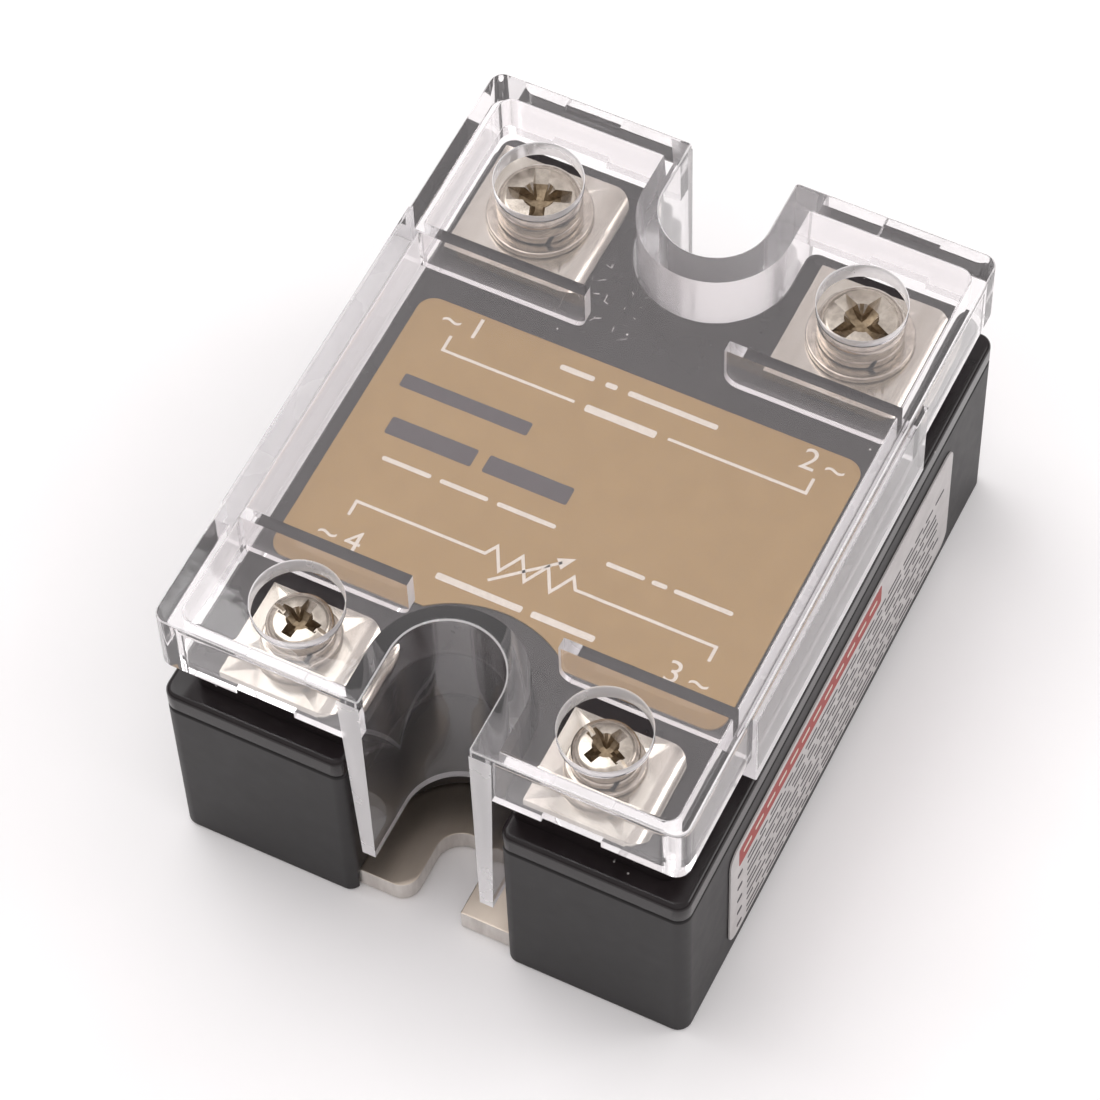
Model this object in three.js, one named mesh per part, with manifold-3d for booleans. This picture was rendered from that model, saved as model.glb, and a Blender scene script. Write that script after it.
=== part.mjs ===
// A panel-mount solid state relay: a metal base plate, a black potted case with a stepped lid,
// four screw terminals and a clear clip-fitted cover with screwdriver holes.
// Millimetres, +Z up. The origin is the centre of the base plate's underside.
// The load terminals are at +Y, the control terminals at -Y.
import * as THREE from "three";
import { mergeVertices } from "three/addons/utils/BufferGeometryUtils.js";
import Module from "manifold-3d";

const wasm = await Module();
wasm.setup();

// ---- Driving dimensions ----------------------------------------------------------------------

const gap = 0.3; // between pieces that meet face to face
const stackGap = 0.05; // between the washers, plate and screw head of one terminal

const caseWidth = 45;
const caseLength = 58.5;
const caseTop = 17.9;
const caseWall = 2;
const cornerRadius = 1.2;

const mountInset = 5.45; // from the case's end to the mounting point; the two are 47.6 apart
const mountWidth = 4.4; // the hole's and the slot's width
const notchRadius = 6.7; // the U notch over each mounting point
const notchMouthRadius = 1;

const plateThickness = 2.2;
const plateInset = 1; // the base plate's edge behind the case's outer face
const slotMouthRadius = 1.6;

const ledgeHeight = 2; // the lid's rim, from the parting line up
const plateauHeight = 4.2; // the raised part of the lid, above the rim
const plateauSideInset = 1.8;
const lidRoof = 2;
const lidWall = 1.8;

const coverHeight = 6.3; // the clear cover's rim, from its lower edge to its top
const coverPlate = 1.6;
const coverWall = 1.4;
const coverInset = 0.2;
const coverNotchWall = 1.5;
const coverLegClearance = 4.8; // from the base plate up to the notch wall's lower edge
const skirtNearSetback = 11.85; // from the cover's near end to the clip skirts on the long sides
const skirtFarSetback = 14.85;
const skirtProud = 0.4; // outside the cover's own side face
const skirtLift = 1.2; // lower edge of a skirt above the lid's rim
const ribThickness = 1;
const ribLift = 0.5; // lower edge of a rib above the lid
const farRibSetback = 2.2; // from the terminal plates' inner edges to the middle of the ribs
const nearRibSetback = 2.1;
const ribCornerRadius = 1.2;
const coverMouthRadius = 0.3;
const reliefWidth = 5; // shallow relief in the cover's lower edge in front of each terminal
const reliefHeight = 0.7;

// Margins from the lid's sides, from the terminal plates' inner edges and from the near notch.
const faceLabel = { sideMargin: 1.3, nearMargin: 3.1, farMargin: 4.8, cutMargin: 3, corner: 1.5 };
const labelThickness = 0.15;
const labelGap = 0.05;
// Margins from the case's ends, underside and top.
const sideLabel = { nearMargin: 7.75, farMargin: 8.25, lowMargin: 1.8, topMargin: 2.3, corner: 1.4 };

// One terminal: its end of the relay, and its screw's distances from the lid's side and end.
// The plate reaches from -left to +flat and then rolls down with its roll radius.
const loadTerminal = {
  end: 1,
  fromSide: 6.5,
  fromEnd: 6.95,
  plate: { left: 5.7, flat: 4.4, roll: 1.9, near: 5.5, far: 5.3, thickness: 0.9 },
  tabWidth: 4, // the tab goes down at the plate's edge nearest the middle of the relay
  thread: 4,
  flatWasher: { outer: 4.4, thickness: 0.6 },
  springWasher: { outer: 3.5, thickness: 0.9 },
  head: { radius: 3.55, height: 1.85, recess: 4.4, recessWidth: 1.15, slotWidth: 0 },
  shank: 8,
  nut: { acrossFlats: 7, thickness: 3.2 },
};
const controlTerminal = {
  end: -1,
  fromSide: 7.77,
  fromEnd: 4.45,
  plate: { left: 4.4, flat: 4.1, roll: 1.7, near: 4.3, far: 3.7, thickness: 0.8 },
  tabWidth: 3.2,
  thread: 3,
  flatWasher: { outer: 3.15, thickness: 0.5 },
  springWasher: { outer: 2.75, thickness: 0.8 },
  head: { radius: 2.65, height: 1.8, recess: 3.3, recessWidth: 0.9, slotWidth: 0.7 },
  shank: 6,
  nut: { acrossFlats: 5.5, thickness: 2.4 },
};
const driverHoleRadius = 3.95;
const shankClearance = 0.15; // radial, between a screw and its nut
const holeClearance = 0.3; // radial, between a screw and the plates and washers it goes through
const nutPocketClearance = 0.3;
const bossWall = 1.4;
const tabDrop = 1; // how far a tab reaches below the lid
const tabSlotClearance = 0.3;
const springSplit = { width: 0.4, lean: 25, turn: -50 }; // degrees: the cut's slant and place
const shankChamfer = 0.4;
const headEdge = 0.15;

// Margins inside the case: from its side walls, and from the walls of its two notches.
const substrate = { sideMargin: 2.5, farMargin: 0.9, length: 15.2, thickness: 1 };
const chip = { size: 7, thickness: 1, setback: 7.2 };
const leadThickness = 0.8;
const gatePin = { radius: 0.4, edge: 0.7 };
const board = { sideMargin: 2, nearMargin: 1.1, farMargin: 2.6, thickness: 1.6, bottom: 9 };
const partMargin = 1; // from the board's long edges to the parts on it
const wireRadius = 0.3;
const blockCorner = 0.5;
const resinTop = 6.2;

// ---- Heights that follow ---------------------------------------------------------------------

const lidBottom = caseTop + gap;
const rimTop = lidBottom + ledgeHeight;
const plateauTop = rimTop + plateauHeight;
const coverBottom = plateauTop + gap;
const coverTop = coverBottom + coverHeight;
const coverUnderside = coverTop - coverPlate;
const tabBottom = lidBottom - tabDrop;
const mountY = caseLength / 2 - mountInset;
const coverNotchRadius = notchRadius - 2 * gap - coverNotchWall;
const plateauHalfX = caseWidth / 2 - plateauSideInset;
const coverHalfX = caseWidth / 2 - coverInset;
const coverHalfY = caseLength / 2 - coverInset;
const plateauHalfY = coverHalfY - coverWall - coverInset;
const loadPlateInner = plateauHalfY - loadTerminal.fromEnd - loadTerminal.plate.near;
const controlPlateInner = controlTerminal.fromEnd + controlTerminal.plate.far - plateauHalfY;

// ---- Solids ----------------------------------------------------------------------------------

const arcFineness = 2.2; // steps per radian on an arc of 1 mm radius

// A manifold solid from any closed three.js geometry.
function solid(geometry) {
  const bare = geometry.clone();
  bare.deleteAttribute("normal");
  bare.deleteAttribute("uv");
  const merged = mergeVertices(bare, 1e-4);
  const vertProperties = new Float32Array(merged.attributes.position.array);
  const triVerts = new Uint32Array(merged.index.array);
  return new wasm.Manifold(new wasm.Mesh({ numProp: 3, vertProperties, triVerts }));
}

// A named mesh from a manifold solid.
function mesh(name, body, material) {
  const data = body.getMesh();
  const geometry = new THREE.BufferGeometry();
  geometry.setAttribute("position", new THREE.BufferAttribute(data.vertProperties, 3));
  geometry.setIndex(new THREE.BufferAttribute(data.triVerts, 1));
  geometry.computeVertexNormals();
  const made = new THREE.Mesh(geometry, material);
  made.name = name;
  return made;
}

// A flat outline, given as points, made solid from z = low to z = high.
function prism(points, low, high) {
  const options = { depth: high - low, bevelEnabled: false };
  const geometry = new THREE.ExtrudeGeometry(new THREE.Shape(points), options);
  return solid(geometry.translate(0, 0, low));
}

// Points along an arc about (x, y), more of them the larger it is. Angles are in quarter turns.
function arc(x, y, radius, from, to) {
  const sweep = ((to - from) * Math.PI) / 2;
  const steps = Math.max(3, Math.ceil(Math.abs(sweep) * Math.sqrt(radius) * arcFineness));
  const points = [];
  for (let i = 0; i <= steps; i++) {
    const angle = (from * Math.PI) / 2 + (sweep * i) / steps;
    points.push(new THREE.Vector2(x + radius * Math.cos(angle), y + radius * Math.sin(angle)));
  }
  return points;
}

function box(x0, x1, y0, y1, z0, z1) {
  const geometry = new THREE.BoxGeometry(x1 - x0, y1 - y0, z1 - z0);
  return solid(geometry.translate((x0 + x1) / 2, (y0 + y1) / 2, (z0 + z1) / 2));
}

function cylinder(radius, x, y, z0, z1, segments = 28) {
  const geometry = new THREE.CylinderGeometry(radius, radius, z1 - z0, segments);
  return solid(geometry.rotateX(Math.PI / 2).translate(x, y, (z0 + z1) / 2));
}

// A solid of revolution about the Z axis from [radius, z] points.
function turned(points, segments = 28) {
  const profile = points.map(([r, z]) => new THREE.Vector2(r, z));
  return solid(new THREE.LatheGeometry(profile, segments).rotateX(Math.PI / 2));
}

// The plan of the relay: a rectangle with rounded corners and a U notch in both short sides.
function notchedOutline(halfX, halfY, corner, notch, mouth) {
  return [
    ...arc(halfX - corner, halfY - corner, corner, 0, 1),
    ...arc(notch + mouth, halfY - mouth, mouth, 1, 2),
    ...arc(0, mountY, notch, 0, -2),
    ...arc(-notch - mouth, halfY - mouth, mouth, 0, 1),
    ...arc(corner - halfX, halfY - corner, corner, 1, 2),
    ...arc(corner - halfX, corner - halfY, corner, 2, 3),
    ...arc(-notch - mouth, mouth - halfY, mouth, 3, 4),
    ...arc(0, -mountY, notch, 2, 0),
    ...arc(notch + mouth, mouth - halfY, mouth, 2, 3),
    ...arc(halfX - corner, corner - halfY, corner, 3, 4),
  ];
}

function roundedRectangle(x0, x1, y0, y1, corner) {
  return [
    ...arc(x1 - corner, y1 - corner, corner, 0, 1),
    ...arc(x0 + corner, y1 - corner, corner, 1, 2),
    ...arc(x0 + corner, y0 + corner, corner, 2, 3),
    ...arc(x1 - corner, y0 + corner, corner, 3, 4),
  ];
}

// The U-shaped wall round a mounting notch, at the far (+1) or the near (-1) end.
function notchWall(side, low, high) {
  const outer = coverNotchRadius + coverNotchWall;
  const outline = [
    new THREE.Vector2(outer, coverHalfY),
    new THREE.Vector2(coverNotchRadius, coverHalfY),
    ...arc(0, mountY, coverNotchRadius, 0, -2),
    new THREE.Vector2(-coverNotchRadius, coverHalfY),
    new THREE.Vector2(-outer, coverHalfY),
    ...arc(0, mountY, outer, 2, 4),
  ];
  const wall = prism(outline, low, high);
  return side > 0 ? wall : wall.rotate([0, 0, 180]);
}

// ---- Materials -------------------------------------------------------------------------------

const finish = (color, roughness, metalness, extra = {}) =>
  new THREE.MeshStandardMaterial({ color, roughness, metalness, ...extra });
const plateMetal = finish(0x9c958b, 0.35, 1);
const caseBlack = finish(0x3a3839, 0.55, 0);
const lidBlack = finish(0x1c1b1c, 0.35, 0);
const clearPlastic = finish(0xf4f2f4, 0.05, 0, { transparent: true, opacity: 0.3 });
const labelGold = finish(0xb29876, 0.5, 0.1);
const labelGrey = finish(0xb9b7b6, 0.6, 0);
const nickel = finish(0xd7d0c6, 0.25, 1);
const steel = finish(0xb8b4ae, 0.3, 1);
const copper = finish(0xb9683c, 0.35, 1);
const alumina = finish(0xece8df, 0.6, 0);
const silicon = finish(0x3d4148, 0.2, 0.5);
const boardGreen = finish(0x2f6b3a, 0.45, 0);
const resinBlack = finish(0x242424, 0.3, 0);
const partBlue = finish(0x2c4f8f, 0.4, 0);
const partTan = finish(0xcdb38a, 0.5, 0);
const partBlack = finish(0x202022, 0.5, 0);
const partRed = finish(0xa8482c, 0.35, 0);

const relay = new THREE.Group();
const add = (name, body, material) => relay.add(mesh(name, body, material));

// ---- Terminal positions ----------------------------------------------------------------------

function terminalAt(name, type, side) {
  const x = side * (plateauHalfX - type.fromSide);
  const y = type.end * (plateauHalfY - type.fromEnd);
  return { name, type, x, y };
}
const terminals = [
  terminalAt("load_1", loadTerminal, -1),
  terminalAt("load_2", loadTerminal, 1),
  terminalAt("control_3", controlTerminal, 1),
  terminalAt("control_4", controlTerminal, -1),
];

// The heights and places of one terminal's pieces, worked out from its own sizes.
function terminalPlan({ type, x }) {
  const plateBottom = plateauTop + 3 * stackGap;
  const plateTop = plateBottom + type.plate.thickness;
  const washerBottom = plateTop + stackGap;
  const springBottom = washerBottom + type.flatWasher.thickness + stackGap;
  const headBottom = springBottom + type.springWasher.thickness + stackGap;
  const nutTop = plateauTop - 2 * stackGap;
  const nutBottom = nutTop - type.nut.thickness;
  const edge = type.end > 0 ? loadPlateInner : controlPlateInner;
  const tabInner = edge + type.end * type.plate.thickness;
  return {
    plateBottom,
    plateTop,
    washerBottom,
    springBottom,
    headBottom,
    headTop: headBottom + type.head.height,
    shankBottom: headBottom - type.shank,
    nutTop,
    nutBottom,
    pocketBottom: nutBottom - gap,
    shankRadius: type.thread / 2 - shankClearance,
    tab: {
      x0: x - type.tabWidth / 2,
      x1: x + type.tabWidth / 2,
      y0: Math.min(edge, tabInner),
      y1: Math.max(edge, tabInner),
    },
  };
}

function hexagon(acrossFlats, x, y, z0, z1) {
  const corners = acrossFlats / Math.sqrt(3);
  const points = [];
  for (let i = 0; i < 6; i++) {
    const angle = (i * Math.PI) / 3;
    points.push(new THREE.Vector2(x + corners * Math.cos(angle), y + corners * Math.sin(angle)));
  }
  return prism(points, z0, z1);
}

// ---- Base plate ------------------------------------------------------------------------------
// Stamped plate that carries the heat away: a round mounting hole at the far end, an open slot
// at the near end, with one slot corner eased.

function basePlate() {
  const halfX = caseWidth / 2 - plateInset;
  const halfY = caseLength / 2 - plateInset;
  const r = mountWidth / 2;
  const outline = [
    new THREE.Vector2(halfX, -halfY),
    new THREE.Vector2(halfX, halfY),
    new THREE.Vector2(-halfX, halfY),
    new THREE.Vector2(-halfX, -halfY),
    ...arc(-r - slotMouthRadius, slotMouthRadius - halfY, slotMouthRadius, 3, 4),
    ...arc(0, -mountY, r, 2, 0),
    new THREE.Vector2(r, -halfY),
  ];
  const hole = cylinder(r, 0, mountY, -1, plateThickness + 1);
  return prism(outline, 0, plateThickness).subtract(hole);
}
add("base_plate", basePlate(), plateMetal);

// ---- Case ------------------------------------------------------------------------------------
// Open-topped frame that stands round the base plate and is seated on its edge.

function caseShell() {
  const halfX = caseWidth / 2;
  const halfY = caseLength / 2;
  const inner = notchedOutline(
    halfX - caseWall, halfY - caseWall, cornerRadius, notchRadius + caseWall, notchMouthRadius,
  );
  const seatX = halfX - plateInset + gap;
  const seatY = halfY - plateInset + gap;
  const seat = box(-seatX, seatX, -seatY, seatY, -1, plateThickness + gap);
  return prism(notchedOutline(halfX, halfY, cornerRadius, notchRadius, notchMouthRadius), 0, caseTop)
    .subtract(prism(inner, plateThickness, caseTop + 1))
    .subtract(seat);
}
add("case_shell", caseShell(), caseBlack);

// ---- Lid -------------------------------------------------------------------------------------
// A rim that meets the case at the parting line and a raised plateau that carries the terminals.
// A boss under the roof holds each captive nut.

function caseLid() {
  const rim = notchedOutline(
    caseWidth / 2, caseLength / 2, cornerRadius, notchRadius, notchMouthRadius,
  );
  const plateau = notchedOutline(
    plateauHalfX, plateauHalfY, cornerRadius, notchRadius, notchMouthRadius,
  );
  const hollow = notchedOutline(
    plateauHalfX - lidWall, plateauHalfY - lidWall, cornerRadius, notchRadius + lidWall,
    notchMouthRadius,
  );
  let lid = prism(rim, lidBottom, rimTop)
    .add(prism(plateau, rimTop - 1, plateauTop))
    .subtract(prism(hollow, lidBottom - 1, plateauTop - lidRoof));
  for (const place of terminals) {
    const { type, x, y } = place;
    const plan = terminalPlan(place);
    const halfFlats = type.nut.acrossFlats / 2 + nutPocketClearance;
    const halfCorners = (2 * halfFlats) / Math.sqrt(3);
    const bossX = halfCorners + bossWall;
    const bossY = halfFlats + bossWall;
    const bossBottom = Math.min(plan.shankBottom, plan.pocketBottom - bossWall);
    const boss = box(
      x - bossX, x + bossX, y - bossY, y + bossY, bossBottom, plateauTop - lidRoof / 2,
    );
    lid = lid
      .add(boss.intersect(prism(plateau, lidBottom, plateauTop)))
      .subtract(hexagon(2 * halfFlats, x, y, plan.pocketBottom, plateauTop + 1))
      .subtract(cylinder(type.thread / 2 + holeClearance, x, y, bossBottom - 1, plateauTop, 20));
  }
  for (const place of terminals) {
    const { tab } = terminalPlan(place);
    lid = lid.subtract(box(
      tab.x0 - tabSlotClearance, tab.x1 + tabSlotClearance,
      tab.y0 - tabSlotClearance, tab.y1 + tabSlotClearance, lidBottom - 1, plateauTop + 1,
    ));
  }
  return lid;
}
add("case_lid", caseLid(), lidBlack);

// ---- Clear cover -----------------------------------------------------------------------------
// One moulding: top plate, rim, two notch walls that reach down past the lid, two clip skirts
// and four ribs that part the terminals from the label.

function coverRib(side, y, inner) {
  const outer = coverHalfX - coverWall / 2;
  const low = plateauTop + ribLift;
  const high = coverUnderside + coverPlate / 2;
  const outline = [
    new THREE.Vector2(outer, low),
    new THREE.Vector2(outer, high),
    new THREE.Vector2(inner, high),
    ...arc(inner + ribCornerRadius, low + ribCornerRadius, ribCornerRadius, 2, 3),
  ];
  const rib = prism(outline, -ribThickness / 2, ribThickness / 2).rotate([90, 0, 0]);
  return side > 0 ? rib.translate([0, y, 0]) : rib.rotate([0, 0, 180]).translate([0, y, 0]);
}

function clearCover() {
  const rim = notchedOutline(
    coverHalfX, coverHalfY, cornerRadius, coverNotchRadius, coverMouthRadius,
  );
  const inner = notchedOutline(
    coverHalfX - coverWall, coverHalfY - coverWall, cornerRadius,
    coverNotchRadius + coverNotchWall, coverMouthRadius,
  );
  const legBottom = plateThickness + coverLegClearance;
  const skirtLow = rimTop + skirtLift;
  const skirtIn = plateauHalfX + gap;
  const skirtOut = coverHalfX + skirtProud;
  const notchOuter = coverNotchRadius + coverNotchWall;
  const skirtNear = skirtNearSetback - coverHalfY;
  const skirtFar = coverHalfY - skirtFarSetback;
  let cover = prism(rim, coverBottom, coverTop)
    .subtract(prism(inner, coverBottom - 1, coverUnderside));
  for (const side of [-1, 1]) {
    const skirt = box(skirtIn, skirtOut, skirtNear, skirtFar, skirtLow, coverTop - coverPlate / 2);
    cover = cover
      .add(notchWall(side, legBottom, coverTop - coverPlate / 2))
      .add(side > 0 ? skirt : skirt.mirror([1, 0, 0]))
      .add(coverRib(side, loadPlateInner - farRibSetback, notchOuter))
      .add(coverRib(side, controlPlateInner + nearRibSetback, notchOuter + gap));
  }
  for (const place of terminals) {
    cover = cover.subtract(
      cylinder(driverHoleRadius, place.x, place.y, coverUnderside - 1, coverTop + 1),
    );
    const end = Math.sign(place.y);
    const faceY = end * coverHalfY;
    const near = Math.min(faceY - end * 1.5 * coverWall, faceY + end);
    const far = Math.max(faceY - end * 1.5 * coverWall, faceY + end);
    const x0 = place.x - reliefWidth / 2;
    cover = cover.subtract(
      box(x0, x0 + reliefWidth, near, far, coverBottom - 1, coverBottom + reliefHeight),
    );
  }
  return cover;
}
add("clear_cover", clearCover(), clearPlastic);

// ---- Labels ----------------------------------------------------------------------------------

function topLabel() {
  const halfWidth = plateauHalfX - faceLabel.sideMargin;
  const near = controlPlateInner + faceLabel.nearMargin;
  const far = loadPlateInner - faceLabel.farMargin;
  const low = plateauTop + labelGap;
  const sheet = prism(
    roundedRectangle(-halfWidth, halfWidth, near, far, faceLabel.corner), low,
    low + labelThickness,
  );
  const cutRadius = notchRadius + faceLabel.cutMargin;
  return sheet.subtract(cylinder(cutRadius, 0, -mountY, low - 1, low + 1, 48));
}
add("face_label", topLabel(), labelGold);

function caseSideLabel() {
  const near = sideLabel.nearMargin - caseLength / 2;
  const far = caseLength / 2 - sideLabel.farMargin;
  const high = caseTop - sideLabel.topMargin;
  const outline = roundedRectangle(near, far, sideLabel.lowMargin, high, sideLabel.corner);
  const sheet = prism(outline, 0, labelThickness);
  // The sheet is drawn lying down and stood up against the +X face.
  return sheet.rotate([90, 0, 0]).rotate([0, 0, 90]).translate([caseWidth / 2 + labelGap, 0, 0]);
}
add("side_label", caseSideLabel(), labelGrey);

// ---- Terminals -------------------------------------------------------------------------------

// Plate seen from the end: flat top, rolled down at its right-hand edge.
function terminalPlate(place) {
  const { type, x, y } = place;
  const { left, flat, roll, near, far, thickness } = type.plate;
  const plan = terminalPlan(place);
  const centre = plan.plateTop - roll;
  // The roll stops where it reaches the lid.
  const reach = Math.asin((plan.plateBottom - centre) / roll) / (Math.PI / 2);
  const outline = [
    new THREE.Vector2(-left, plan.plateBottom),
    ...arc(flat, centre, roll, reach, 1),
    new THREE.Vector2(-left, plan.plateTop),
  ];
  // Drawn in X and Z, made solid along Y.
  const flatPart = prism(outline, -far, near).rotate([90, 0, 0]).translate([x, y, 0]);
  const { tab } = plan;
  return flatPart
    .add(box(tab.x0, tab.x1, tab.y0, tab.y1, tabBottom, plan.plateTop - thickness / 2))
    .subtract(cylinder(type.thread / 2 + holeClearance, x, y, plan.plateBottom - 1, plan.plateTop + 1));
}

function ring(inner, outer, x, y, z0, z1) {
  return cylinder(outer, x, y, z0, z1).subtract(cylinder(inner, x, y, z0 - 1, z1 + 1));
}

// Split ring: the slanted cut lies away from the cover's ribs.
function springWasher(type, x, y, z0) {
  const { outer, thickness } = type.springWasher;
  const body = ring(type.thread / 2 + holeClearance, outer, x, y, z0, z0 + thickness);
  const half = springSplit.width / 2;
  const cut = box(0, outer + 1, -half, half, -thickness, 2 * thickness)
    .rotate([springSplit.lean, 0, springSplit.turn]);
  return body.subtract(cut.translate([x, y, z0]));
}

// Pan head with a cross recess; the smaller screws have a slot across the cross as well.
function screw(place) {
  const { type, x, y } = place;
  const { head, thread } = type;
  const plan = terminalPlan(place);
  const crown = head.height * 0.35;
  const points = [[0, plan.shankBottom], [plan.shankRadius - shankChamfer, plan.shankBottom]];
  points.push([plan.shankRadius, plan.shankBottom + shankChamfer]);
  points.push([plan.shankRadius, plan.headBottom], [head.radius - headEdge, plan.headBottom]);
  points.push([head.radius, plan.headBottom + headEdge]);
  const shoulder = plan.headTop - crown;
  for (let i = 0; i <= 4; i++) {
    const angle = (i * Math.PI) / 8;
    const reach = head.radius - crown * (1 - Math.cos(angle));
    points.push([reach, shoulder + crown * Math.sin(angle)]);
  }
  points.push([0, plan.headTop]);
  let body = turned(points).translate([x, y, 0]);
  const depth = head.height * 0.65;
  const arm = head.recess / 2;
  const half = head.recessWidth / 2;
  const cross = box(-arm, arm, -half, half, -depth, 1).add(box(-half, half, -arm, arm, -depth, 1));
  body = body.subtract(cross.rotate([0, 0, 45]).translate([x, y, plan.headTop]));
  if (head.slotWidth > 0) {
    const slot = box(-thread, thread, -head.slotWidth / 2, head.slotWidth / 2, -depth / 2, 1);
    body = body.subtract(slot.rotate([0, 0, 45]).translate([x, y, plan.headTop]));
  }
  return body;
}

for (const place of terminals) {
  const { name, type, x, y } = place;
  const plan = terminalPlan(place);
  const bore = type.thread / 2;
  add("terminal_plate_" + name, terminalPlate(place), nickel);
  add(
    "captive_nut_" + name,
    hexagon(type.nut.acrossFlats, x, y, plan.nutBottom, plan.nutTop)
      .subtract(cylinder(bore, x, y, plan.nutBottom - 1, plan.nutTop + 1, 24)),
    steel,
  );
  add(
    "flat_washer_" + name,
    ring(bore + holeClearance, type.flatWasher.outer, x, y, plan.washerBottom,
      plan.washerBottom + type.flatWasher.thickness),
    nickel,
  );
  add("spring_washer_" + name, springWasher(type, x, y, plan.springBottom), nickel);
  add("terminal_screw_" + name, screw(place), nickel);
}

// ---- Inside the case -------------------------------------------------------------------------

const innerHalfX = caseWidth / 2 - caseWall;
const notchWallY = mountY - notchRadius - caseWall; // where the notch walls reach in the middle
const substrateHalfX = innerHalfX - substrate.sideMargin;
const substrateFar = notchWallY - substrate.farMargin;
const substrateNear = substrateFar - substrate.length;
const chipY = substrateFar - chip.setback;
const boardHalfX = innerHalfX - board.sideMargin;
const boardNear = board.nearMargin - notchWallY;
const boardFar = notchWallY - board.farMargin;
const boardMiddle = (boardNear + boardFar) / 2;
const substrateBottom = plateThickness + gap;
const chipBottom = substrateBottom + substrate.thickness + gap;
const chipTop = chipBottom + chip.thickness;
const boardTop = board.bottom + board.thickness;
const partBottom = boardTop + gap;

// Ceramic tile that carries the power chips on the base plate.
add(
  "ceramic_substrate",
  box(-substrateHalfX, substrateHalfX, substrateNear, substrateFar, substrateBottom,
    substrateBottom + substrate.thickness),
  alumina,
);

// Resin poured over the floor of the case, left clear round the tile and the power leads.
function resin() {
  const inset = caseWall + gap;
  const leadBack = loadPlateInner + leadThickness;
  const floor = notchedOutline(
    caseWidth / 2 - inset, caseLength / 2 - inset, cornerRadius, notchRadius + inset,
    notchMouthRadius,
  );
  const window = box(
    -substrateHalfX - gap, substrateHalfX + gap, substrateNear - gap,
    Math.max(substrateFar, leadBack) + gap, 0, resinTop + 1,
  );
  return prism(floor, substrateBottom, resinTop).subtract(window);
}
add("potting_resin", resin(), resinBlack);

// A strap profile drawn in Y and Z: down from a terminal's tab and along to its foot.
function strap(x, width, yTab, yFoot, top, bottom) {
  const t = leadThickness;
  const y0 = Math.min(yTab, yTab + t);
  const foot = box(
    x - width / 2, x + width / 2, Math.min(yFoot, y0), Math.max(yFoot, y0 + t), bottom, bottom + t,
  );
  return foot.add(box(x - width / 2, x + width / 2, y0, y0 + t, bottom, top));
}

for (const place of terminals) {
  const { name, type, x } = place;
  const { tab } = terminalPlan(place);
  const onLoad = type === loadTerminal;
  const foot = onLoad ? chipY - chip.size / 2 : boardNear + leadThickness;
  const bottom = onLoad ? chipTop + gap : partBottom;
  add(
    (onLoad ? "power_lead_" : "control_lead_") + name,
    strap(x, type.tabWidth, tab.y0, foot, tabBottom - gap, bottom),
    copper,
  );
  if (onLoad) {
    const half = chip.size / 2;
    add(
      "thyristor_chip_" + name,
      box(x - half, x + half, chipY - half, chipY + half, chipBottom, chipTop),
      silicon,
    );
    // The gate pin stands on the chip's inner edge and reaches up to the board.
    const gateX = x - Math.sign(x) * (half - gatePin.edge);
    add(
      "gate_pin_" + name,
      cylinder(gatePin.radius, gateX, chipY, chipTop + gap, board.bottom - gap, 12),
      copper,
    );
  }
}

add(
  "circuit_board",
  box(-boardHalfX, boardHalfX, boardNear, boardFar, board.bottom, boardTop),
  boardGreen,
);

// Where a part of that width goes: against the board's left (-1) or right (+1) long edge.
function besideEdge(side, width) {
  return side * (boardHalfX - partMargin - width / 2);
}

// A part that lies along X on two bent wires, such as a resistor.
function axialPart(side, y, length, radius, span) {
  const x = besideEdge(side, span + 2 * wireRadius);
  const height = partBottom + radius;
  const crimp = radius * 0.3;
  const neck = radius * 0.8;
  const half = length / 2;
  const profile = [[0, -half], [neck, -half], [radius, crimp - half]];
  profile.push([radius, half - crimp], [neck, half], [0, half]);
  const wire = cylinder(wireRadius, 0, 0, -span / 2, span / 2, 8);
  let body = turned(profile, 20).add(wire).rotate([0, 90, 0]).translate([x, y, height]);
  for (const end of [-1, 1]) {
    const legX = x + (end * span) / 2;
    body = body.add(cylinder(wireRadius, legX, y, partBottom, height + wireRadius, 8));
  }
  return body;
}

// A rectangular part with rounded upright edges, standing on the board.
function blockPart(x, y, width, length, height) {
  const outline = roundedRectangle(
    x - width / 2, x + width / 2, y - length / 2, y + length / 2, blockCorner,
  );
  return prism(outline, partBottom, partBottom + height);
}

// Three rows across the board, counted from its middle.
const farRow = boardMiddle + 5.6;
const middleRow = boardMiddle + 1.6;
const nearRow = boardMiddle - 4.4;
add("snubber_capacitor", blockPart(besideEdge(-1, 13), farRow, 13, 4, 5), partRed);
add("timing_capacitor", blockPart(besideEdge(1, 7.2), farRow, 7.2, 2.5, 5), partRed);
add("snubber_resistor", axialPart(-1, middleRow, 9, 1.6, 13), partTan);
add("gate_resistor", axialPart(1, middleRow, 6.3, 1.2, 10), partBlue);
add("trigger_optocoupler", blockPart(0, nearRow, 8.8, 6.4, 3.5), partBlack);
add("input_resistor", axialPart(1, nearRow + 2.2, 6.3, 1.2, 8.4), partBlue);
add("trigger_diac", axialPart(1, nearRow - 1, 4, 1, 7), partRed);

// Round disc that stands on edge.
const varistor = { radius: 2.5, thickness: 3 };
add(
  "surge_varistor",
  cylinder(varistor.radius, 0, 0, -varistor.thickness / 2, varistor.thickness / 2, 24)
    .rotate([90, 0, 0])
    .translate([besideEdge(-1, 2 * varistor.radius), nearRow, partBottom + varistor.radius]),
  partBlue,
);

export default relay;
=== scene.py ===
import math
import random

import bmesh
import bpy
from mathutils import Euler, Matrix, Vector


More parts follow.
